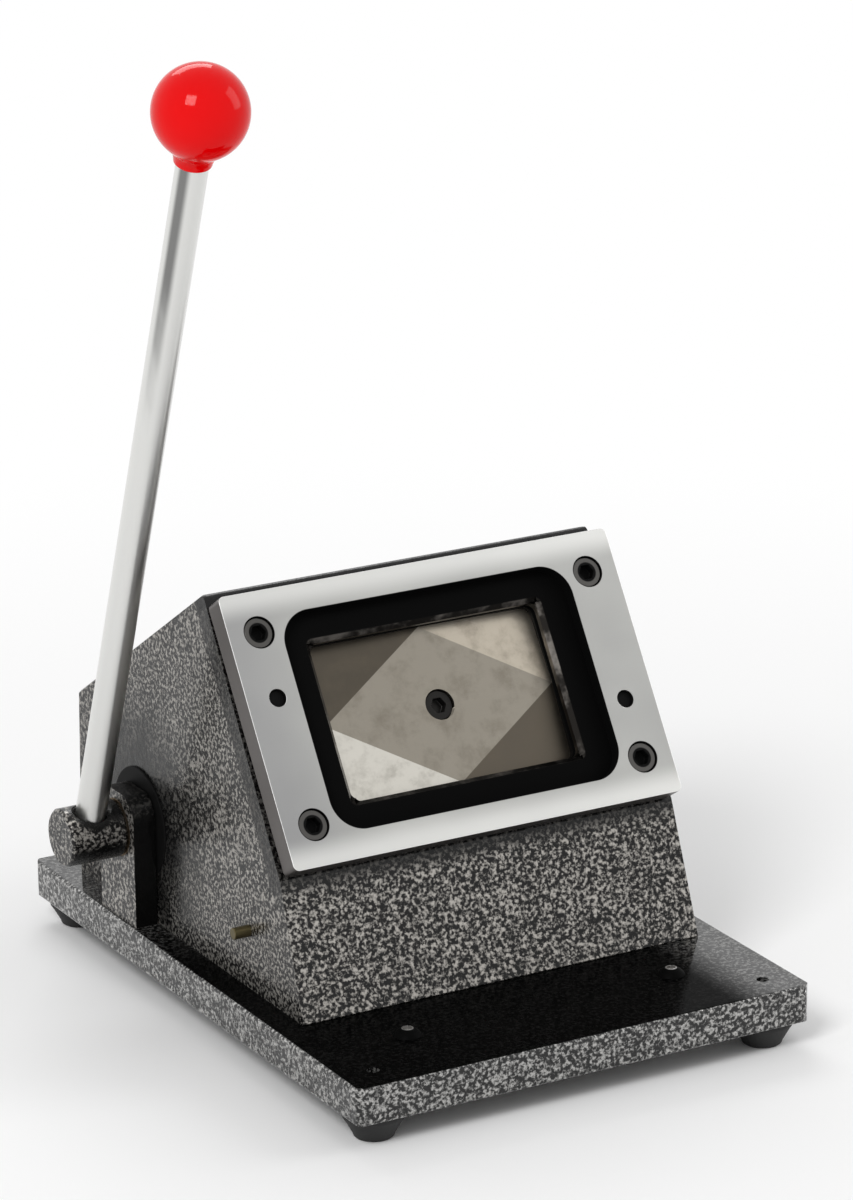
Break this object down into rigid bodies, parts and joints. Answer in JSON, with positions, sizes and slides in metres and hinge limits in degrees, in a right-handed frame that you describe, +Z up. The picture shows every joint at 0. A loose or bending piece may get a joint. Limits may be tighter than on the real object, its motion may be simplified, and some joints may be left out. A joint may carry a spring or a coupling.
{
  "type": "plastic card cutter",
  "caption": "Bench-top card cutter: a side lever turns an eccentric shaft that drives a flat punch through a die in the inclined front face.",
  "frame": {"origin": "under the middle of the whole outline, on the surface that the feet stand on", "axes": "+Z up, -Y towards the user in front of the inclined face, +X to the user's right; the lever is on the -X side"},
  "size_m": [0.1946, 0.236, 0.3359],
  "materials": {
    "hammertone": "hammertone enamel",
    "rubber": "moulded",
    "machine_steel": "machined",
    "dark_steel": "blackened",
    "bronze": "turned",
    "satin_steel": "satin",
    "knob": "polished",
    "punch_steel": "ground and hardened",
    "plate_steel": "ground"
  },
  "bodies": {
    "frame": {"base_plate": "hammertone", "rubber_feet": "rubber", "foot_screws": "machine_steel", "front_base_screws": "dark_steel", "housing": "hammertone", "housing_bolts": "dark_steel", "rear_cover": "hammertone", "rear_cover_screws": "dark_steel", "outboard_plate": "hammertone", "outboard_bolts": "dark_steel", "outboard_bush": "bronze", "left_bearing": "dark_steel", "right_bearing": "bronze", "ram_bush": "bronze", "guide_plate": "dark_steel", "guide_screws": "dark_steel", "front_plate": "plate_steel", "die": "dark_steel", "slot_spacers": "machine_steel", "plate_screws": "dark_steel", "dowel_pins": "dark_steel", "side_rod": "machine_steel"},
    "lever": {"eccentric_shaft": "machine_steel", "lever_hub": "hammertone", "lever_rod": "satin_steel", "ball_knob": "knob", "hub_grub_screw": "dark_steel", "end_washer": "machine_steel", "end_screw": "dark_steel"},
    "ram": {"yoke_ram": "machine_steel", "punch_holder": "machine_steel", "holder_pins": "machine_steel", "punch": "punch_steel", "punch_screw": "dark_steel"}
  },
  "joints": [
    {"name": "lever_turn", "type": "hinge", "parent": "frame", "child": "lever", "pos_m": [-0.08184, 0.053, 0.0545], "axis": [1, 0, 0], "range_deg": [0, 70]},
    {"name": "punch_slide", "type": "slide", "parent": "frame", "child": "ram", "axis": [0, -0.8415, 0.5402], "range_m": [0, 0.00805]}
  ],
  "couplings": [
    {"joint": "punch_slide", "follows": "lever_turn", "m_per_rad": 0.0065727}
  ]
}
